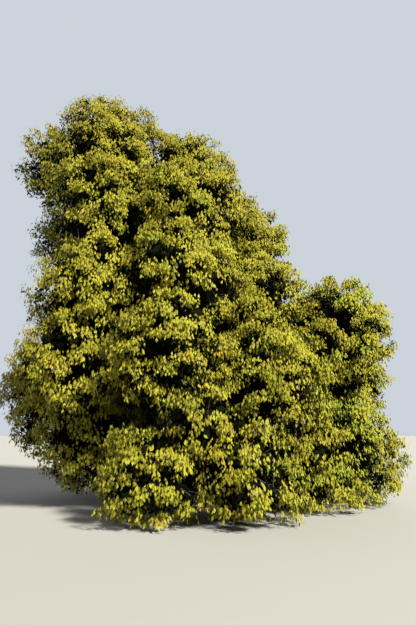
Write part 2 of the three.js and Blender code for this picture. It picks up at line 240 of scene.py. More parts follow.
# Stems
# Three tapering stems, of wood under the same bark, rise from the fork through the open middle of the
# crown, each to the mass of foliage that it carries. The crown's masses hang in rings, one above the
# other, round a line that leans left.

# Each ring has its height, its middle, half its width and depth, and how far its masses reach. Each
# mass has its turn round the ring in degrees, its lift above the ring, and its share of that reach.
CROWN = {
    "top": (9.45, (-2.05, -0.05), (0, 0), 2.05, {"dome": (0, 0, 1)}),
    "upper": (
        8.6, (-1.4, 0.05), (1.75, 1.45), 1.6,
        {
            "left": (184, 0.35, 0.95), "front": (258, -0.25, 1),
            "right": (352, -0.05, 1), "back": (85, 0.2, 1),
        },
    ),
    "high": (
        6.75, (-0.35, 0), (2.0, 2.05), 1.75,
        {
            "left": (180, 0.06, 0.95), "front_left": (236, 0.2, 1), "front_right": (298, -0.1, 1),
            "right": (0, -0.27, 1), "back_right": (60, 0, 1), "back_left": (120, 0.15, 1),
        },
    ),
    "middle": (
        4.65, (-0.15, 0), (2.25, 2.55), 1.75,
        {
            "left": (180, -0.3, 0.82), "front_left": (232, -0.1, 1), "front_right": (284, 0.15, 1),
            "right": (338, -0.05, 1), "back_right": (58, 0, 1), "back_left": (122, -0.1, 1),
        },
    ),
    "low": (
        2.65, (0.1, 0), (2.9, 3.0), 1.65,
        {
            "left": (182, -0.3, 1), "front_left": (230, 0.45, 0.95), "front": (272, 0.55, 0.9),
            "front_right": (316, 0.1, 1), "back_right": (58, 0, 1), "back_left": (120, 0.05, 1),
        },
    ),
    "skirt": (
        0.78, (0.75, 0), (2.65, 3.55), 1.45,
        {
            "left": (201, 0.65, 0.9), "front_left": (255, -0.05, 0.88), "front": (290, 0, 0.9),
            "front_right": (327, 0.05, 1), "back_right": (56, 0, 1), "back_left": (110, 0.05, 1),
            "left_back": (158, 0.6, 1),
        },
    ),
    "apron": (1.55, (0.85, -3.35), (0, 0), 1.05, {"front": (0, 0, 1)}),
    "shoulder": (
        4.08, (4.18, 0.05), (0.3, 0.8), 1.6,
        {"front": (262, -0.08, 1), "back": (60, -0.1, 1), "right": (0, -1.15, 0.84)},
    ),
    "foot": (1.1, (4.08, 0.1), (0.2, 1.05), 1.65, {"front": (250, 0, 1), "back": (70, 0, 1)}),
}
MASS_HEIGHT_SHARE = 0.95
MASS_GAP = 0.06
GROUND_GAP = 0.03
TAPER = 0.85
ENTRY_STEP = 0.005
AT_MIDDLE = 1e-3
LEAST_FACING = 1e-6

masses = []
for ring, (height, middle, half, reach, places) in CROWN.items():
    for place, (degrees, lift, share) in places.items():
        turn = math.radians(degrees)
        x = middle[0] + half[0] * math.cos(turn)
        y = middle[1] + half[1] * math.sin(turn)
        centre = np.array((x, y, height + lift))
        mass = {"name": f"{ring}_{place}", "ring": ring, "middle": centre, "reach": reach * share}
        masses.append(mass)
for mass in masses:
    walls = []
    for other in masses:
        line = other["middle"] - mass["middle"]
        apart = np.linalg.norm(line)
        if other is not mass and apart < mass["reach"] + other["reach"]:
            share = mass["reach"] / (mass["reach"] + other["reach"])
            walls.append([*(line / apart), apart * share - MASS_GAP / 2])
    mass["walls"] = np.array(walls)


def room_towards(mass, ways, spill=0.0):
    """How far a mass's space runs from its middle in each of the directions, or a spill beyond it."""
    ways = np.atleast_2d(ways)
    room = mass["reach"] / np.linalg.norm(ways / (1, 1, MASS_HEIGHT_SHARE), axis=1)
    facing = np.maximum(ways @ mass["walls"][:, :3].T, LEAST_FACING)
    room = np.minimum(room, ((mass["walls"][:, 3] + spill) / facing).min(axis=1))
    falling = np.maximum(-ways[:, 2], LEAST_FACING)
    return np.minimum(room, (mass["middle"][2] - GROUND_GAP) / falling)


def stem_curve(points):
    """A smooth line through points, given as a function of its share."""
    points = [2 * points[0] - points[1], *points, 2 * points[-1] - points[-2]]

    def at(share):
        along = (len(points) - 3) * share
        first = min(int(along), len(points) - 4)
        a, b, c, d = points[first : first + 4]
        t = along - first
        da, db, dc = (math.dist(p, q) ** 0.5 for p, q in ((a, b), (b, c), (c, d)))
        leave = ((b - a) / da - (c - a) / (da + db) + (c - b) / db) * db
        arrive = ((c - b) / db - (d - b) / (db + dc) + (d - c) / dc) * db
        square = 3 * (c - b) - 2 * leave - arrive
        cube = leave + arrive - 2 * (c - b)
        return b + leave * t + square * t**2 + cube * t**3

    return at


def radius_at(limb, share):
    """A limb's radius at a share of its length."""
    return limb["radius"] + (limb["tip_radius"] - limb["radius"]) * share**TAPER


def entry_of(limb):
    """The share of a limb at which it enters its mass for good."""
    entry = share = 1.0
    while share > 0:
        point = limb["curve"](share)
        way = point - limb["mass"]["middle"]
        far = np.linalg.norm(way)
        if far > AT_MIDDLE:
            margin = far + radius_at(limb, share) + MASS_GAP
            if margin > room_towards(limb["mass"], way / far)[0]:
                break
        entry = share
        share -= ENTRY_STEP
    return entry


# Each stem has its radius at its foot, the mass that it carries, and the points that it passes.
STEMS = {
    "left_stem": (
        0.2, "top_dome",
        [(-0.33, 0.03, 2.6), (-0.42, 0.02, 4.9), (-0.7, 0, 6.9), (-1.6, -0.05, 8.9)],
    ),
    "middle_stem": (
        0.165, "upper_right",
        [(0.24, 0.16, 2.6), (0.2, 0.18, 4.9), (0.06, 0.12, 6.9)],
    ),
    "right_stem": (
        0.17, "shoulder_front",
        [(0.8, -0.06, 1.9), (1.9, -0.08, 2.35), (3.0, -0.25, 2.9)],
    ),
}
STEM_FOOT_OFFSET = 0.14
STEM_FOOT_HEIGHT = 1.0
STEM_TIP_RADIUS = 0.055
STEM_BARK_DEPTH = 0.004
STEM_SIDES = 56
STEM_RINGS = (300, 260, 150)
ACROSS_STEMS = (0.1, 1, 0.05)

stems = []
for name, (radius, to, by) in STEMS.items():
    mass = next(one for one in masses if one["name"] == to)
    towards = math.atan2(by[0][1], by[0][0])
    foot_x = STEM_FOOT_OFFSET * math.cos(towards)
    foot_y = STEM_FOOT_OFFSET * math.sin(towards)
    foot = (foot_x, foot_y, STEM_FOOT_HEIGHT)
    curve = stem_curve([np.array(point) for point in [foot, *by, mass["middle"]]])
    stem = {"name": name, "mass": mass, "curve": curve, "radius": radius}
    stem["tip_radius"] = STEM_TIP_RADIUS
    stem["end"] = entry_of(stem)
    mass["limb"] = stem
    stems.append(stem)


def limb_bark(limb, sides, rings, side, depth):
    """The bark of a stem or bough, from its foot to where it enters its mass."""
    shares = np.linspace(0, limb["end"], rings + 1)
    line = np.array([limb["curve"](share) for share in shares])
    tangents = np.gradient(line, axis=0)
    tangents /= np.linalg.norm(tangents, axis=1)[:, None]
    across = np.cross(tangents, side)
    across /= np.linalg.norm(across, axis=1)[:, None]
    aside = np.cross(across, tangents)

    def ring_at(share, turn):
        i = round(share * rings)
        out = Vector(across[i] * math.cos(turn) + aside[i] * math.sin(turn))
        place = Vector(line[i]) + out * radius_at(limb, shares[i])
        return place + out * (bark_relief(place, depth) - depth)

    bark_tube(limb["name"] + "_bark", ring_at, sides, rings, limb["name"])


for stem, rings in zip(stems, STEM_RINGS):
    limb_bark(stem, STEM_SIDES, rings, ACROSS_STEMS, STEM_BARK_DEPTH)

# Boughs
# Each mass of foliage that hangs too far out to grow from a stem itself has one tapering bough, of
# wood under finer bark. It leaves a stem near by, some way below the mass, bows up, and ends where it
# enters the mass.
BOUGH_RADIUS_SHARE = 0.5
BOUGH_LEAST_RADIUS = 0.048
BOUGH_TIP_RADIUS = 0.03
BOUGH_RISE = 0.42
BOUGH_ARCH = 0.16
BOUGH_BOW = 0.45
BOUGH_RUN_WEIGHT = 0.6
BOUGH_FOOT_RANGE = (0.05, 0.9)
STEPS_ALONG_LIMB = 60
BOUGH_BARK_DEPTH = 0.0025
BOUGH_SIDES = 24
BOUGH_RINGS = 70


def bough_to(mass):
    """The bough that carries a mass, from the best place on a stem to the middle of the mass."""
    best = None
    for stem in stems:
        share = BOUGH_FOOT_RANGE[0]
        while share < BOUGH_FOOT_RANGE[1] * stem["end"]:
            at = stem["curve"](share)
            run = math.dist(mass["middle"][:2], at[:2])
            cost = run * BOUGH_RUN_WEIGHT + abs(at[2] + run * BOUGH_RISE - mass["middle"][2])
            if best is None or cost < best[0]:
                best = (cost, stem, share, at)
            share += 1 / STEPS_ALONG_LIMB
    _, stem, share, foot = best
    bow = foot + (mass["middle"] - foot) * BOUGH_BOW
    bow[2] += math.dist(foot, mass["middle"]) * BOUGH_ARCH
    tip = mass["middle"]
    limb = {
        "name": "bough_" + mass["name"],
        "mass": mass,
        "curve": lambda t: foot * (1 - t) ** 2 + bow * 2 * t * (1 - t) + tip * t**2,
        "radius": max(BOUGH_LEAST_RADIUS, radius_at(stem, share) * BOUGH_RADIUS_SHARE),
        "tip_radius": BOUGH_TIP_RADIUS,
    }
    limb["end"] = entry_of(limb)
    return limb


for mass in masses:
    if "limb" not in mass:
        mass["limb"] = bough = bough_to(mass)
        if bough["name"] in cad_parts:
            foot, tip = bough["curve"](0), mass["middle"]
            side = (foot[1] - tip[1], tip[0] - foot[0], 0)
            limb_bark(bough, BOUGH_SIDES, BOUGH_RINGS, side, BOUGH_BARK_DEPTH)
        else:
            bough["end"] = 0

# Twigs
# Every mass goes on from its bough's tip in thinner and thinner twigs: main twigs spread round the
# mass by the golden angle, side twigs that arch over and hang, and on them the ends that bear leaves.
# Short shaded twigs grow along the main twigs and the bare limbs, and close the crown's open middle.

# The twigs themselves.
MAIN_TWIGS = 46
MAIN_TWIG_RADIUS = 0.02
MAIN_TWIG_ARCH = 0.08
MAIN_TWIG_STEPS = 3
SIDE_TWIGS = 4
SIDE_TWIG_RADIUS = 0.008
SIDE_TWIG_ARCH = 0.12
SIDE_TWIG_STEPS = 2
SIDE_TWIG_FEET = (0.45, 0.97)
END_TWIG_RADIUS = 0.0035
TWIG_THINNING = 0.7
TWIG_SIDES = 3
TWIG_SIDE_TURN = 2.0944
NEVER_ALONG_TWIG = (0.31, 0.17, 0.93)

# How far the main twigs reach, and how they trail near the ground.
COMMON_REACH = 1.6
GOLDEN_ANGLE = math.pi * (3 - math.sqrt(5))
TURN_SCATTER = (-0.2, 0.2)
FREE_ABOVE = 0.97
FREE_TWIG_SHARE = (0.64, 0.84)
WALLED_TWIG_SHARE = (0.8, 1.0)
TRAILING_BELOW = 1.7
TRAILING = 0.25
FRINGE_HEIGHTS = [0.5, 0.9]
FRINGE_REACH = 0.1

# The short twigs inside the crown.
SHADED_TWIGS = 3
SHADED_TWIG_FEET = (0.3, 0.85)
SHADED_TWIG_SPREAD = 0.3
TWIGS_ON_METRE = {"stem": 55, "bough": 20}
INNER_LIMB_STEPS = 4
LEAST_STRETCH = 1e-4
LIMB_TWIG_FEET = (0.15, 1)
LIMB_TWIG_SPREAD = 0.45

# The lobe of side twigs and ends round the tip of each main twig.
LOBE_WIDTH = 0.43
LOBE_RISE = 0.16
LOBE_DROOP = 0.36
LOBE_THICKNESS = 0.06
LOBE_SIZE = (0.72, 1.25)
LEAST_ROOM_FOR_LOBE = 0.45
DEEPEST_LOBE = 1.0
ENDS_ON_LOBE = 21
FORKS_ON_SIDE_TWIG = (0.55, 0.8, 1.0)

# The share of the ends that bear leaves, by depth in the crown and by the cover over them.
DEPTHS = [0.0, 0.08, 0.5, 0.8, 1.1]
ENDS_AT_DEPTHS = [0.5, 1, 0.85, 0.25, 0.03]
COVERS = [0.3, 1.0]
ENDS_UNDER_COVERS = [1, 0.6]
OUT_TO_COVER = (0.45, 0.45, 0)
UP_TO_COVER = (0, 0, 0.8)
LOWEST_TWIG = 0.08
HIGHEST_SPRAY = 11.26
SPILL = 0.2
SPRAY_LIMIT = 0.96

# The left side: shaded high up, and drawn in above the crown's foot.
FLANK_WAYS = [-1, -0.4]
FLANK_HEIGHTS = [4.2, 5]
FLANK_DRAWN_IN = 0.42
LEAST_DRAWN_IN = 0.02
DRAWN_IN_SIDE = [-3.5, -2.9]
DRAWN_IN_HEIGHTS = [3.6, 4.0, 5.6, 6.2]

# How the tones of the lobes and of their ends differ.
MIDDLE_TONE = 0.5
LOBE_TONE = (-0.2, 0.2)
END_TONE = (-0.4, 0.4)
PICK_BY_LOBE = 0.4
PICK_BY_END = 0.6

middles = np.array([mass["middle"] for mass in masses])
reaches = np.array([mass["reach"] for mass in masses])


def depth_in_crown(points):
    """How far inside the crown's outer limit each point lies, in metres."""
    away = (points[:, None, :] - middles) / (1, 1, MASS_HEIGHT_SHARE)
    return (reaches - np.linalg.norm(away, axis=2)).max(axis=1)


def cover_over(points, out):
    """How deep under the crown's outer limit lies what is a little above and outside each point."""
    return np.maximum(depth_in_crown(points + out * OUT_TO_COVER + UP_TO_COVER), 0)


def left_flank(points, out):
    """How far each point belongs to the shaded left side of the upper crown, from 0 to 1."""
    return np.interp(out[:, 0], FLANK_WAYS, [1, 0]) * np.interp(points[:, 2], FLANK_HEIGHTS, [0, 1])


def drawn_in(points):
    """How far the left side is drawn in above the broad foot of the crown, in metres."""
    aside = np.interp(points[:, 0], DRAWN_IN_SIDE, [1, 0])
    return FLANK_DRAWN_IN * aside * np.interp(points[:, 2], DRAWN_IN_HEIGHTS, [0, 1, 1, 0])


def bent_twigs(starts, ends, radius, steps, arch):
    """Three-sided tapering twigs that bow up between two points, as arrays of corners and faces."""
    count = len(starts)
    shares = np.linspace(0, 1, steps + 1)[None, :, None]
    line = starts[:, None] * (1 - shares) + ends[:, None] * shares
    length = np.linalg.norm(ends - starts, axis=1)
    line[:, :, 2] += arch * length[:, None] * (4 * shares * (1 - shares))[:, :, 0]
    way = (ends - starts) / length[:, None]
    side = np.cross(way, NEVER_ALONG_TWIG)
    side /= np.linalg.norm(side, axis=1)[:, None]
    other = np.cross(way, side)
    corners = []
    for k in range(TWIG_SIDES):
        out = side * math.cos(k * TWIG_SIDE_TURN) + other * math.sin(k * TWIG_SIDE_TURN)
        corners.append(line[:, :-1] + out[:, None] * radius * (1 - TWIG_THINNING * shares[:, :-1]))
    rings = np.stack(corners, axis=2).reshape(count, steps * TWIG_SIDES, 3)
    points = np.concatenate([rings, line[:, -1:]], axis=1)
    faces = []
    for i in range(steps - 1):
        for k in range(TWIG_SIDES):
            a, b = (i * TWIG_SIDES + corner for corner in (k, (k + 1) % TWIG_SIDES))
            faces += [(a, b, b + TWIG_SIDES), (a, b + TWIG_SIDES, a + TWIG_SIDES)]
    last = (steps - 1) * TWIG_SIDES
    tip = last + TWIG_SIDES
    faces += [(last + k, last + (k + 1) % TWIG_SIDES, tip) for k in range(TWIG_SIDES)]
    offsets = np.arange(count)[:, None, None] * points.shape[1]
    return points.reshape(-1, 3), (np.array(faces)[None] + offsets).reshape(-1, 3)


def line_points(starts, ends, arch, share):
    """Points at shares of bowed twigs."""
    points = starts * (1 - share) + ends * share
    points[:, 2] += arch * np.linalg.norm(ends - starts, axis=1) * (4 * share * (1 - share))[:, 0]
    return points


def on_lobe(count, chance):
    """Places on a lobe, as shares of its width: spread over a dome whose edge droops."""
    turn = chance.uniform(0, 2 * math.pi, count)
    far = np.sqrt(chance.uniform(0, 1, count))
    height = LOBE_RISE - LOBE_DROOP * far**2 + chance.normal(0, LOBE_THICKNESS, count)
    wide = LOBE_WIDTH * far
    return np.stack([wide * np.cos(turn), wide * np.sin(turn), height], axis=1)


def spread_main_twigs(mass, chance):
    """The tips of a mass's main twigs, and how far the mass's space runs the way of each."""
    middle = mass["middle"]
    number = round(MAIN_TWIGS * (mass["reach"] / COMMON_REACH) ** 2)
    place = np.arange(number)
    up = 1 - 2 * (place + 0.5) / number
    if middle[2] < TRAILING_BELOW:
        up -= TRAILING * (1 - up**2)
    turn = place * GOLDEN_ANGLE + chance.uniform(0, 2 * math.pi) + chance.uniform(*TURN_SCATTER, number)
    flat = np.sqrt(1 - up**2)
    ways = np.stack([flat * np.cos(turn), flat * np.sin(turn), up], axis=1)
    room = room_towards(mass, ways)
    reach = room * np.linalg.norm(ways / (1, 1, MASS_HEIGHT_SHARE), axis=1)
    free = reach > mass["reach"] * FREE_ABOVE
    free_share = chance.uniform(*FREE_TWIG_SHARE, number)
    share = np.where(free, free_share, chance.uniform(*WALLED_TWIG_SHARE, number))
    share += np.interp(middle[2] + ways[:, 2] * room, FRINGE_HEIGHTS, [FRINGE_REACH, 0]) * free
    return middle + ways * (room * share)[:, None], room


def shaded_twigs(mass, starts, tips, chance):
    """Where the short twigs along the main twigs and along the mass's bare limb start and end."""
    owner = np.repeat(np.arange(len(tips)), SHADED_TWIGS)
    along = chance.uniform(*SHADED_TWIG_FEET, (len(owner), 1))
    on_twigs = line_points(starts[owner], tips[owner], MAIN_TWIG_ARCH, along)
    twig_tips = on_twigs + chance.normal(0, SHADED_TWIG_SPREAD, (len(owner), 3))
    limb = mass["limb"]
    bare = np.linalg.norm(limb["curve"](limb["end"]) - limb["curve"](0.0))
    close = TWIGS_ON_METRE["bough" if limb["name"].startswith("bough") else "stem"]
    shares = chance.uniform(*LIMB_TWIG_FEET, round(close * bare)) * limb["end"]
    on_limb = np.array([limb["curve"](share) for share in shares]).reshape(-1, 3)
    limb_tips = on_limb + chance.normal(0, LIMB_TWIG_SPREAD, on_limb.shape)
    ends = np.concatenate([twig_tips, limb_tips])
    ends[:, 2] = np.maximum(ends[:, 2], LOWEST_TWIG)
    return np.concatenate([on_twigs, on_limb]), ends


def kept_ends(mass, ends, out, far, chance):
    """Which ends bear leaves: few deep in the crown or under cover, none past the mass's space."""
    depth = depth_in_crown(ends)
    cover = cover_over(ends, out)
    likely = np.interp(depth, DEPTHS, ENDS_AT_DEPTHS)
    likely *= np.interp(cover, COVERS, ENDS_UNDER_COVERS)
    kept = far / room_towards(mass, out, SPILL) < SPRAY_LIMIT
    kept &= chance.uniform(0, 1, len(ends)) < likely
    kept &= (ends[:, 2] > LOWEST_TWIG) & (ends[:, 2] < HIGHEST_SPRAY)
    hollow = drawn_in(ends)
    kept &= (hollow < LEAST_DRAWN_IN) | (depth > hollow)
    return kept, depth, cover


def nearest_forks(ends, owner, side_starts, side_tips):
    """For each end the nearest fork on the side twigs of its own lobe."""
    forks = np.empty_like(ends)
    forks_on_each = len(FORKS_ON_SIDE_TWIG)
    along = np.repeat(np.array(FORKS_ON_SIDE_TWIG), SIDE_TWIGS)[:, None]
    for k in range(len(side_tips) // SIDE_TWIGS):
        mine = owner == k
        carriers = slice(k * SIDE_TWIGS, (k + 1) * SIDE_TWIGS)
        feet = np.tile(side_starts[carriers], (forks_on_each, 1))
        tips = np.tile(side_tips[carriers], (forks_on_each, 1))
        joints = line_points(feet, tips, SIDE_TWIG_ARCH, along)
        nearest = np.linalg.norm(ends[mine][:, None] - joints, axis=2).argmin(axis=1)
        forks[mine] = joints[nearest]
    return forks


def inner_limb(limb):
    """The last stretch of a stem or bough, from where it enters its mass to the mass's middle."""
    shares = np.linspace(limb["end"], 1, INNER_LIMB_STEPS + 1)
    line = np.array([limb["curve"](share) for share in shares])
    stretches = []
    for i in range(INNER_LIMB_STEPS):
        foot, tip = line[i : i + 1], line[i + 1 : i + 2] + LEAST_STRETCH
        stretches.append(bent_twigs(foot, tip, radius_at(limb, shares[i]), 1, 0))
    return stretches


def grow(mass, seed):
    """The twigs of one mass, the ends that bear its leaves, and its leafy shaded and side twigs."""
    chance = np.random.default_rng(seed)
    middle = mass["middle"]
    tips, room = spread_main_twigs(mass, chance)
    starts = np.repeat(middle[None], len(tips), axis=0)
    twigs = [bent_twigs(starts, tips, MAIN_TWIG_RADIUS, MAIN_TWIG_STEPS, MAIN_TWIG_ARCH)]
    shaded_starts, shaded_tips = shaded_twigs(mass, starts, tips, chance)
    twigs.append(bent_twigs(shaded_starts, shaded_tips, SIDE_TWIG_RADIUS, 1, 0))

    used = (room > LEAST_ROOM_FOR_LOBE) & (depth_in_crown(tips) < DEEPEST_LOBE)
    tips, room, starts = tips[used], room[used], starts[used]
    count = len(tips)
    size = (room / COMMON_REACH) ** 0.5 * chance.uniform(*LOBE_SIZE, count)
    owner = np.repeat(np.arange(count), SIDE_TWIGS)
    along = chance.uniform(*SIDE_TWIG_FEET, (len(owner), 1))
    side_starts = line_points(starts[owner], tips[owner], MAIN_TWIG_ARCH, along)
    side_tips = tips[owner] + on_lobe(len(owner), chance) * size[owner][:, None]
    side_tips[:, 2] = np.maximum(side_tips[:, 2], LOWEST_TWIG)
    side_twigs = bent_twigs(side_starts, side_tips, SIDE_TWIG_RADIUS, SIDE_TWIG_STEPS, SIDE_TWIG_ARCH)
    twigs.append(side_twigs)

    owner = np.repeat(np.arange(count), np.round(ENDS_ON_LOBE * size**2).astype(int))
    at = tips[owner] + on_lobe(len(owner), chance) * size[owner][:, None]
    out = at - middle
    far = np.linalg.norm(out, axis=1)
    out /= far[:, None]
    kept, depth, cover = kept_ends(mass, at, out, far, chance)
    at, out, owner, depth, cover = at[kept], out[kept], owner[kept], depth[kept], cover[kept]
    forks = nearest_forks(at, owner, side_starts, side_tips)
    twigs.append(bent_twigs(forks, at, END_TWIG_RADIUS, 1, 0))
    twigs += inner_limb(mass["limb"])

    lobe_tone = chance.uniform(*LOBE_TONE, count) + MIDDLE_TONE
    tone = lobe_tone[owner] + chance.uniform(*END_TONE, len(owner))
    pick = chance.uniform(0, 1, len(owner)) * PICK_BY_END
    pick += PICK_BY_LOBE * chance.uniform(0, 1, count)[owner]
    ends = {
        "at": at,
        "out": out,
        "way": at - forks,
        "depth": depth,
        "cover": cover,
        "tone": tone,
        "height": (at - tips[owner])[:, 2],
        "pick": pick,
    }
    leafy = {
        "from": np.concatenate([shaded_starts, side_starts]),
        "to": np.concatenate([shaded_tips, side_tips]),
    }
    leafy["shaded"] = np.arange(len(leafy["to"])) < len(shaded_tips)
    leafy["out"] = leafy["to"] - middle
    return twigs, ends, leafy


def foliage_piece(name, points, faces, tints, skins):
    """One joined mesh from arrays, its faces dealt to the skins by tint."""
    mesh = bpy.data.meshes.new(name)
    mesh.vertices.add(len(points))
    mesh.vertices.foreach_set("co", points.astype(np.float32).ravel())
    mesh.loops.add(faces.size)
    mesh.loops.foreach_set("vertex_index", faces.astype(np.int32).ravel())
    mesh.polygons.add(len(faces))
    mesh.polygons.foreach_set("loop_start", np.arange(0, faces.size, 3, dtype=np.int32))
    for skin in skins:
        mesh.materials.append(skin)
    mesh.polygons.foreach_set("material_index", tints.astype(np.int32))
    mesh.update(calc_edges=True)
    mesh.validate()
    piece = bpy.data.objects.new(name, mesh)
    bpy.context.scene.collection.objects.link(piece)
    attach(piece, "root")
    return piece


def joined(parts):
    """Several arrays of points and faces as one."""
    offsets = np.cumsum([0] + [len(points) for points, _ in parts[:-1]])
    faces = [faces + offset for (_, faces), offset in zip(parts, offsets)]
    return np.concatenate([points for points, _ in parts]), np.concatenate(faces)


def gathered(group, kind):
    """The arrays of several masses as one set of arrays."""
    return {key: np.concatenate([mass[kind][key] for mass in group]) for key in group[0][kind]}


def plain_skin(name, colour, roughness, shine=0.15):
    """A plain skin for a kind of leaf, catkin or twig: its colour is dealt out by spray."""
    material = bpy.data.materials.new(name)
    material.use_nodes = True
    skin = material.node_tree.nodes["Principled BSDF"]
    skin.inputs["Base Color"].default_value = (*colour, 1)
    skin.inputs["Roughness"].default_value = roughness
    skin.inputs["Specular IOR Level"].default_value = shine
    return material


twig_skin = plain_skin("twig_skin", (0.07, 0.055, 0.04), 0.85)
for seed, mass in enumerate(masses):
    mass["twigs"], mass["ends"], mass["leafy"] = grow(mass, seed + 1)
ends_of = {}
leafy_of = {}
for ring in CROWN:
    group = [mass for mass in masses if mass["ring"] == ring]
    points, faces = joined([twig for mass in group for twig in mass["twigs"]])
    piece = foliage_piece(f"twigs_{ring}", points, faces, np.zeros(len(faces)), [twig_skin])
    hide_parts(*(f"foliage_{mass['name']}" for mass in group))
    ends_of[ring] = gathered(group, "ends")
    leafy_of[ring] = gathered(group, "leafy")

# Leaves
# The old leaves of last year: leathery ovals, dark grey-green above, set all round the twigs' ends.
# On the shaded twigs inside the crown they are larger, each stands for several, and they are painted
# near-black as painted shade.

# The leaves round the ends.
LEAVES_ON_END = 2
FLANK_LEAVES = 3
LEAF_LENGTH = (0.08, 0.12)
LEAF_WIDTH_SHARE = 0.46
LEAF_OUTLINE = ((0.32, 0.9), (0.72, 0.75))
LEAF_FACES = 4
LEAF_BEND = 0.04
LEAF_FEET = (-0.05, 0.9)
LEAF_FEET_REACH = 0.7
LEAF_INSET = 0.05
LEAF_ALONG_TWIG = 0.6
LEAF_OUTWARDS = 0.3
LEAF_FACES_OUT = 0.7
LEAF_FACES_UP = (0, 0, 0.8)
LEAF_SCATTER = 0.045
LEAF_TURN_SCATTER = 0.75
LEAF_FACING_SCATTER = 0.5
LEAF_TONE_SCATTER = 0.12
# Tone lost on each metre of depth in the crown: painted shade.
SHADE_PAINTED_ON_METRE = 0.5
# Tone gained on the shaded left flank, lighter and greener: painted light.
PAINTED_LIGHT_ON_FLANK = 0.15
LEAF_TONES = [0.1, 0.45, 0.8]
LOWEST_LEAF_FOOT = 0.13
LOWEST_LEAF = 0.03
HIGHEST_LEAF = 11.35
LEAF_SEED = 100

# The leaves in the shade.
LEAVES_ON_SHADED_TWIG = 13
LEAVES_ON_SIDE_TWIG = 12
SIZE_ON_SHADED_TWIG = 1.3
SIZE_ON_SIDE_TWIG = 0.75
SHADED_LEAF_LENGTH = (0.13, 0.19)
SHADED_LEAF_WIDTH_SHARE = 0.6
SHADED_LEAF_FOLD = 0.15
SHADED_LEAF_SCATTER = 0.06
SHADED_LEAF_FACING_SCATTER = 0.35
SHADED_LEAF_FLATNESS = 0.8
SHADED_LEAF_DROOP = (0, 0, 0.4)
LOWEST_SHADED_LEAF = 0.3
HIGHEST_SHADED_LEAF = HIGHEST_LEAF - 0.7
LEAST_LEAF_DEPTH = 0.3
LEAST_LEAF_COVER = 0.25
SHADED_LEAF_SEED = 150
LEAST_LENGTH = 1e-9

leaf_skins = [
    # The first skin is no real leaf colour: it is near-black painted shade for the inside of the crown
    # and its deepest ends.
    plain_skin("leaf_painted_shade", (0.004, 0.0055, 0.0018), 0.9, 0.03),
    plain_skin("leaf_grey_green", (0.025, 0.036, 0.012), 0.6),
    plain_skin("leaf_green", (0.04, 0.055, 0.01), 0.6),
    plain_skin("leaf_olive", (0.08, 0.09, 0.014), 0.6),
]
PAINTED_SHADE_LEAF = 0
BLADE_FACES = 2
BLADE_CORNERS = 4


def unit(vectors):
    """The vectors, each made one long."""
    return vectors / np.maximum(np.linalg.norm(vectors, axis=1)[:, None], LEAST_LENGTH)


def oval_leaves(roots, ways, faces_to, lengths):
    """Flat ovals of four faces, each from a root along its way, turned to face a direction."""
    side = unit(np.cross(ways, faces_to)) * (lengths * LEAF_WIDTH_SHARE / 2)[:, None]
    lift = unit(np.cross(side, ways)) * (lengths * LEAF_BEND)[:, None]
    ahead = ways * lengths[:, None]
    corners = [roots]
    for share, wide in LEAF_OUTLINE:
        corners.append(roots + ahead * share + side * wide + lift)
        corners.append(roots + ahead * share - side * wide + lift)
    corners.append(roots + ahead)
    each = np.array([(0, 2, 1), (1, 2, 4), (1, 4, 3), (3, 4, 5)])
    faces = each[None] + np.arange(len(roots))[:, None, None] * len(corners)
    return np.stack(corners, axis=1).reshape(-1, 3), faces.reshape(-1, 3)


def folded_blades(tops, ways, faces_to, lengths, width_share, fold):
    """Folded blades of two faces, widest in the middle, each hanging from its top."""
    side = unit(np.cross(ways, faces_to)) * (lengths * width_share / 2)[:, None]
    front = unit(np.cross(side, ways)) * (lengths * width_share * fold)[:, None]
    ahead = ways * lengths[:, None]
    right = tops + ahead * 0.5 + side - front
    left = tops + ahead * 0.5 - side - front
    points = np.stack([tops, right, tops + ahead, left], axis=1)
    each = np.array([(0, 1, 2), (0, 2, 3)])
    faces = each[None] + np.arange(len(tops))[:, None, None] * BLADE_CORNERS
    return points.reshape(-1, 3), faces.reshape(-1, 3)


def leaves_on_ends(ends, chance):
    """The leaves round the twigs' ends: painted shade darkens them deep in the crown; on the left there
    are more of them, lightened there as painted light.
    """
    flank = left_flank(ends["at"], ends["out"])
    number = np.round(LEAVES_ON_END + flank * FLANK_LEAVES).astype(int)
    owner = np.repeat(np.arange(len(number)), number)
    total = len(owner)
    way, out = ends["way"][owner], ends["out"][owner]
    back = chance.uniform(*LEAF_FEET, (total, 1))
    roots = ends["at"][owner] - way * back * LEAF_FEET_REACH - out * LEAF_INSET
    roots += chance.normal(0, LEAF_SCATTER, (total, 3))
    ways = unit(way) * LEAF_ALONG_TWIG + out * LEAF_OUTWARDS
    ways = unit(ways + chance.normal(0, LEAF_TURN_SCATTER, (total, 3)))
    facing = out * LEAF_FACES_OUT + LEAF_FACES_UP
    facing = unit(facing + chance.normal(0, LEAF_FACING_SCATTER, (total, 3)))
    lengths = chance.uniform(*LEAF_LENGTH, total)
    tips = roots[:, 2] + ways[:, 2] * lengths
    kept = (roots[:, 2] > LOWEST_LEAF_FOOT) & (tips > LOWEST_LEAF) & (tips < HIGHEST_LEAF)
    tone = ends["tone"][owner] + chance.normal(0, LEAF_TONE_SCATTER, total)
    # Painted shade: leaves darken with depth in the crown. Painted light: they lighten on the shaded
    # left flank.
    tone = tone - ends["depth"][owner] * SHADE_PAINTED_ON_METRE + flank[owner] * PAINTED_LIGHT_ON_FLANK
    tints = np.digitize(tone, LEAF_TONES)
    points, faces = oval_leaves(roots[kept], ways[kept], facing[kept], lengths[kept])
    return points, faces, np.repeat(tints[kept], LEAF_FACES)


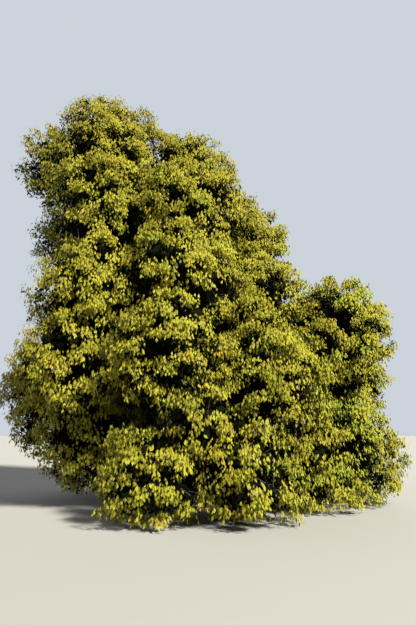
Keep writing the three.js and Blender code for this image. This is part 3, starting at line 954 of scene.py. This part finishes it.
def leaves_in_shade(twigs, chance):
    """The dense leaves of the shaded twigs, near-black as painted shade, which close the crown behind
    its outer sprays.
    """
    number = np.where(twigs["shaded"], LEAVES_ON_SHADED_TWIG, LEAVES_ON_SIDE_TWIG)
    owner = np.repeat(np.arange(len(number)), number)
    total = len(owner)
    along = chance.uniform(0.0, 1.0, (total, 1))
    roots = line_points(twigs["from"][owner], twigs["to"][owner], 0.0, along)
    roots = roots + chance.normal(0, SHADED_LEAF_SCATTER, (total, 3))
    out = unit(twigs["out"][owner])
    ways = unit(chance.normal(0, 1, (total, 3)) - SHADED_LEAF_DROOP)
    ways = unit(ways - out * (ways * out).sum(axis=1)[:, None] * SHADED_LEAF_FLATNESS)
    facing = unit(out + chance.normal(0, SHADED_LEAF_FACING_SCATTER, (total, 3)))
    size = np.where(twigs["shaded"][owner], SIZE_ON_SHADED_TWIG, SIZE_ON_SIDE_TWIG)
    lengths = size * chance.uniform(*SHADED_LEAF_LENGTH, total)
    kept = (roots[:, 2] > LOWEST_SHADED_LEAF) & (roots[:, 2] < HIGHEST_SHADED_LEAF)
    kept &= (depth_in_crown(roots) > LEAST_LEAF_DEPTH) | (cover_over(roots, out) > LEAST_LEAF_COVER)
    roots, ways, facing, lengths = roots[kept], ways[kept], facing[kept], lengths[kept]
    return folded_blades(roots, ways, facing, lengths, SHADED_LEAF_WIDTH_SHARE, SHADED_LEAF_FOLD)


for seed, ring in enumerate(CROWN):
    *outer, tints = leaves_on_ends(ends_of[ring], np.random.default_rng(LEAF_SEED + seed))
    inner = leaves_in_shade(leafy_of[ring], np.random.default_rng(SHADED_LEAF_SEED + seed))
    points, faces = joined([outer, inner])
    # The shaded leaves all take the near-black skin, as painted shade.
    tints = np.concatenate([tints, np.full(len(inner[1]), PAINTED_SHADE_LEAF)])
    piece = foliage_piece(f"leaves_{ring}", points, faces, tints, leaf_skins)

# Catkins
# The spring's flowers: yellow-olive catkins that hang in tufts from the new shoots, thickest where
# the sun reaches. Each folded blade stands for several catkins.

# The tufts and their blades.
CATKINS_ON_END = 22
CATKIN_LENGTH = (0.06, 0.1)
CATKIN_WIDTH_SHARE = 0.52
CATKIN_FOLD = 0.35
CATKIN_SWAY = 0.18
CATKIN_SPLAY = (2, 2, 0)
CATKIN_FACES_OUT = (1, 1, 0.3)
CATKIN_FACES_UP = (0, 0, 0.2)
CATKIN_FACING_SCATTER = 0.4
TUFT_WIDTH = 0.075
TUFT_HEIGHT_SHARE = 0.8
TUFT_LIMIT = 1.6
TUFT_LIFT = (0, 0, 0.03)
TUFT_BACK = (0, 0.25)
TUFT_FULLNESS = (0.6, 1.3)
LOWEST_CATKIN = 0.015
CATKIN_SEED = 200

# What makes a tuft fuller or thinner.
SUNWARD = np.array([0.75, -0.65, 0.1])
SUN_OUTSIDE = 1.2
SUN_ON_METRE_UP_LOBE = 0.6
SHADE_ON_METRE_DEEP = 0.8
SHADE_UNDER_COVER = 0.66
SUN_ON_SUNNY_SIDE = 0.3
SHADE_ON_FLANK = 0.6
SUN_ON_SHOULDER = 0.38
SHOULDER_SIDE = [2.9, 3.7]
SHOULDER_HEIGHTS = [2.4, 3.2]
SHADE_ON_FOOT = 0.22
FOOT_SIDE = [1, 2.5]
FOOT_HEIGHTS = [2.2, 3.2]
SHADE_AT_TOP = 0.32
TOP_HEIGHTS = [6.5, 9.5]
SUN_LIMITS = (0.06, 1.15)

# What makes a catkin deeper, greener or more golden, with painted shade high up and on the left and
# painted light on the right.
CATKIN_TONES = [0.22, 0.5]
CATKIN_TONE_SCATTER = 0.15
PAINTED_SHADE_AT_TOP = 0.35
PAINTED_SHADE_HEIGHTS = [6, 10]
PAINTED_LIGHT_SIDES = [-4, -2, 3, 4.5]
PAINTED_SHADE_AND_LIGHT_AT_SIDES = [-0.2, 0, 0, 0.25]
PICK_SCATTER = 0.1
GREEN_BELOW = 0.16
GREENER_TO_RIGHT = 0.04
GREENER_DOWN = 0.012
LIME_ABOVE = 0.4
AMBER_ABOVE = 0.8
STRAW_ABOVE = 0.5

catkin_skins = [
    plain_skin("catkin_deep_olive", (0.155, 0.145, 0.009), 0.8),
    plain_skin("catkin_olive", (0.215, 0.203, 0.014), 0.8),
    plain_skin("catkin_gold", (0.265, 0.25, 0.019), 0.8),
    plain_skin("catkin_green", (0.13, 0.155, 0.014), 0.8),
    plain_skin("catkin_lime", (0.21, 0.25, 0.02), 0.8),
    plain_skin("catkin_amber", (0.25, 0.195, 0.014), 0.8),
    plain_skin("catkin_straw", (0.25, 0.24, 0.04), 0.8),
]
GREEN, LIME, AMBER, STRAW = 3, 4, 5, 6


def share_of_sun(ends):
    """How full each end's tuft is: fuller outside and on the sunny side, thin under cover."""
    x, z = ends["at"][:, 0], ends["at"][:, 2]
    sun = SUN_OUTSIDE + ends["height"] * SUN_ON_METRE_UP_LOBE
    sun = sun - ends["depth"] * SHADE_ON_METRE_DEEP - ends["cover"] * SHADE_UNDER_COVER
    sun += ends["out"] @ SUNWARD * SUN_ON_SUNNY_SIDE
    sun -= left_flank(ends["at"], ends["out"]) * SHADE_ON_FLANK
    sun += np.interp(x, SHOULDER_SIDE, [0, SUN_ON_SHOULDER]) * np.interp(z, SHOULDER_HEIGHTS, [0, 1])
    sun -= np.interp(x, FOOT_SIDE, [0, SHADE_ON_FOOT]) * np.interp(z, FOOT_HEIGHTS, [1, 0])
    sun -= np.interp(z, TOP_HEIGHTS, [0, SHADE_AT_TOP])
    return np.clip(sun, *SUN_LIMITS)


def catkin_tints(ends, owner, chance):
    """Which skin each catkin has: by its spray's tone, darker towards the top and on the left as
    painted shade, lighter on the right as painted light, greener low on the right, some amber.
    """
    x, z = ends["at"][owner][:, 0], ends["at"][owner][:, 2]
    tone = ends["tone"][owner] + chance.normal(0, CATKIN_TONE_SCATTER, len(owner))
    # Painted shade: deeper skins towards the top and on the left. Painted light: lighter skins on the
    # sunny right.
    tone -= np.interp(z, PAINTED_SHADE_HEIGHTS, [0, PAINTED_SHADE_AT_TOP])
    tone += np.interp(x, PAINTED_LIGHT_SIDES, PAINTED_SHADE_AND_LIGHT_AT_SIDES)
    tints = np.digitize(tone, CATKIN_TONES)
    pick = ends["pick"][owner] + chance.normal(0, PICK_SCATTER, len(owner))
    greener = GREEN_BELOW + x * GREENER_TO_RIGHT - z * GREENER_DOWN
    tints = np.where(pick < greener, np.where(tone < LIME_ABOVE, GREEN, LIME), tints)
    return np.where(pick > AMBER_ABOVE, np.where(tone < STRAW_ABOVE, AMBER, STRAW), tints)


def catkins_on_ends(ends, chance):
    """A tuft of catkins hangs from each end: spread at its rim, close together in its middle."""
    sun = share_of_sun(ends)
    fullness = chance.uniform(*TUFT_FULLNESS, len(sun))
    number = np.round(CATKINS_ON_END * sun * fullness).astype(int)
    owner = np.repeat(np.arange(len(number)), number)
    total = len(owner)
    scatter = np.clip(chance.normal(0, 1, (total, 3)), -TUFT_LIMIT, TUFT_LIMIT)
    aside = scatter * (TUFT_WIDTH, TUFT_WIDTH, TUFT_WIDTH * TUFT_HEIGHT_SHARE)
    back = chance.uniform(*TUFT_BACK, (total, 1))
    tops = ends["at"][owner] - ends["way"][owner] * back + aside + TUFT_LIFT
    ways = unit((0, 0, -1) + aside * CATKIN_SPLAY + chance.normal(0, CATKIN_SWAY, (total, 3)))
    outwards = ends["out"][owner] * CATKIN_FACES_OUT + CATKIN_FACES_UP
    facing = unit(outwards + chance.normal(0, CATKIN_FACING_SCATTER, (total, 3)))
    lengths = chance.uniform(*CATKIN_LENGTH, total)
    kept = (tops[:, 2] - lengths > LOWEST_CATKIN) & (tops[:, 2] < HIGHEST_LEAF)
    tints = catkin_tints(ends, owner, chance)
    tops, ways, facing, lengths = tops[kept], ways[kept], facing[kept], lengths[kept]
    points, faces = folded_blades(tops, ways, facing, lengths, CATKIN_WIDTH_SHARE, CATKIN_FOLD)
    return points, faces, np.repeat(tints[kept], BLADE_FACES)


for seed, ring in enumerate(CROWN):
    points, faces, tints = catkins_on_ends(ends_of[ring], np.random.default_rng(CATKIN_SEED + seed))
    piece = foliage_piece(f"catkins_{ring}", points, faces, tints, catkin_skins)
